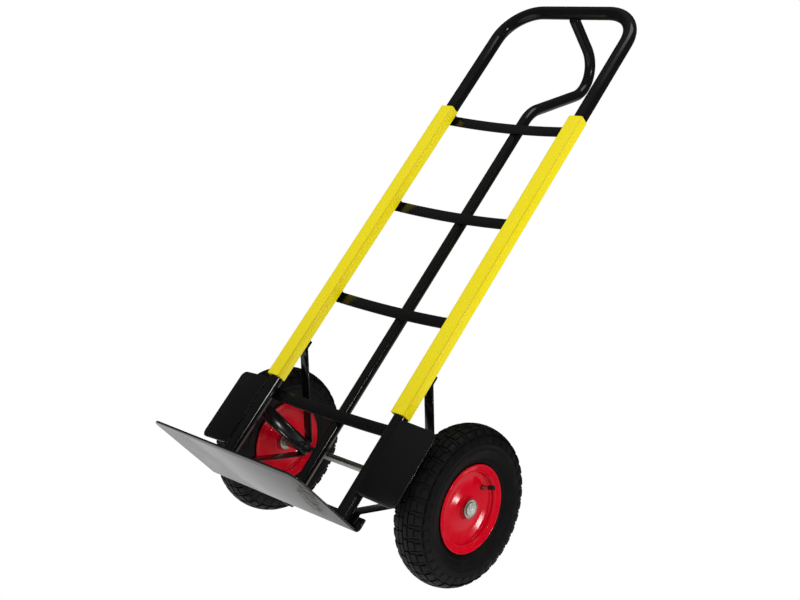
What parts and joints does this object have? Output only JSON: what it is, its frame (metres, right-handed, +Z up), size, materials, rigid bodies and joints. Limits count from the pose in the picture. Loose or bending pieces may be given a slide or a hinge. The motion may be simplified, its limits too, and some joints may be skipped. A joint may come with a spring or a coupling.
{
  "type": "hand truck",
  "caption": "Tubular steel hand truck with a toe plate, looped centre handle, glide rails over the uprights, wheel guards and pneumatic wheels on a solid axle.",
  "frame": {"origin": "underside of the toe plate, midway between the uprights and under their centre lines", "axes": "+Z up along the uprights, -Y towards the toe plate's front edge, +Y towards the wheels, X along the axle, +X to the right as seen from the front"},
  "size_m": [0.613, 0.5265, 1.309],
  "materials": {
    "black_paint": "glossy black powder coat on steel",
    "yellow_plastic": "glossy yellow moulded plastic",
    "zinc": "bright zinc-plated steel",
    "cap_chrome": "polished steel push-on cap",
    "bearing_steel": "ground steel races with pressed shields",
    "red_paint": "glossy red paint on pressed steel",
    "tyre_rubber": "black tyre rubber",
    "tube_rubber": "black butyl rubber",
    "valve_brass": "nickel-washed brass",
    "cap_plastic": "black plastic dust cap"
  },
  "bodies": {
    "frame": {"toe_plate": "black_paint", "main_frame": "black_paint", "centre_tube": "black_paint", "crossbar_1": "black_paint", "crossbar_2": "black_paint", "crossbar_3": "black_paint", "crossbar_4": "black_paint", "axle": "zinc", "left_glide_rail": "yellow_plastic", "left_wheel_guard": "black_paint", "left_upper_strut": "black_paint", "left_lower_strut": "black_paint", "left_axle_bracket": "black_paint", "left_axle_spacer": "zinc", "left_inner_washer": "zinc", "left_outer_washer": "zinc", "left_axle_cap": "cap_chrome", "right_glide_rail": "yellow_plastic", "right_wheel_guard": "black_paint", "right_upper_strut": "black_paint", "right_lower_strut": "black_paint", "right_axle_bracket": "black_paint", "right_axle_spacer": "zinc", "right_inner_washer": "zinc", "right_outer_washer": "zinc", "right_axle_cap": "cap_chrome"},
    "left_wheel": {"left_tyre": "tyre_rubber", "left_inner_tube": "tube_rubber", "left_rim_barrel": "red_paint", "left_outer_disc": "red_paint", "left_inner_disc": "red_paint", "left_hub": "zinc", "left_outer_bearing": "bearing_steel", "left_inner_bearing": "bearing_steel", "left_valve_stem": "valve_brass", "left_valve_cap": "cap_plastic"},
    "right_wheel": {"right_tyre": "tyre_rubber", "right_inner_tube": "tube_rubber", "right_rim_barrel": "red_paint", "right_outer_disc": "red_paint", "right_inner_disc": "red_paint", "right_hub": "zinc", "right_outer_bearing": "bearing_steel", "right_inner_bearing": "bearing_steel", "right_valve_stem": "valve_brass", "right_valve_cap": "cap_plastic"}
  },
  "joints": [
    {"name": "left_wheel_spin", "type": "hinge", "parent": "frame", "child": "left_wheel", "pos_m": [-0.2665, 0.177, 0.1615], "axis": [1, 0, 0], "continuous": true},
    {"name": "right_wheel_spin", "type": "hinge", "parent": "frame", "child": "right_wheel", "pos_m": [0.2665, 0.177, 0.1615], "axis": [1, 0, 0], "continuous": true}
  ]
}
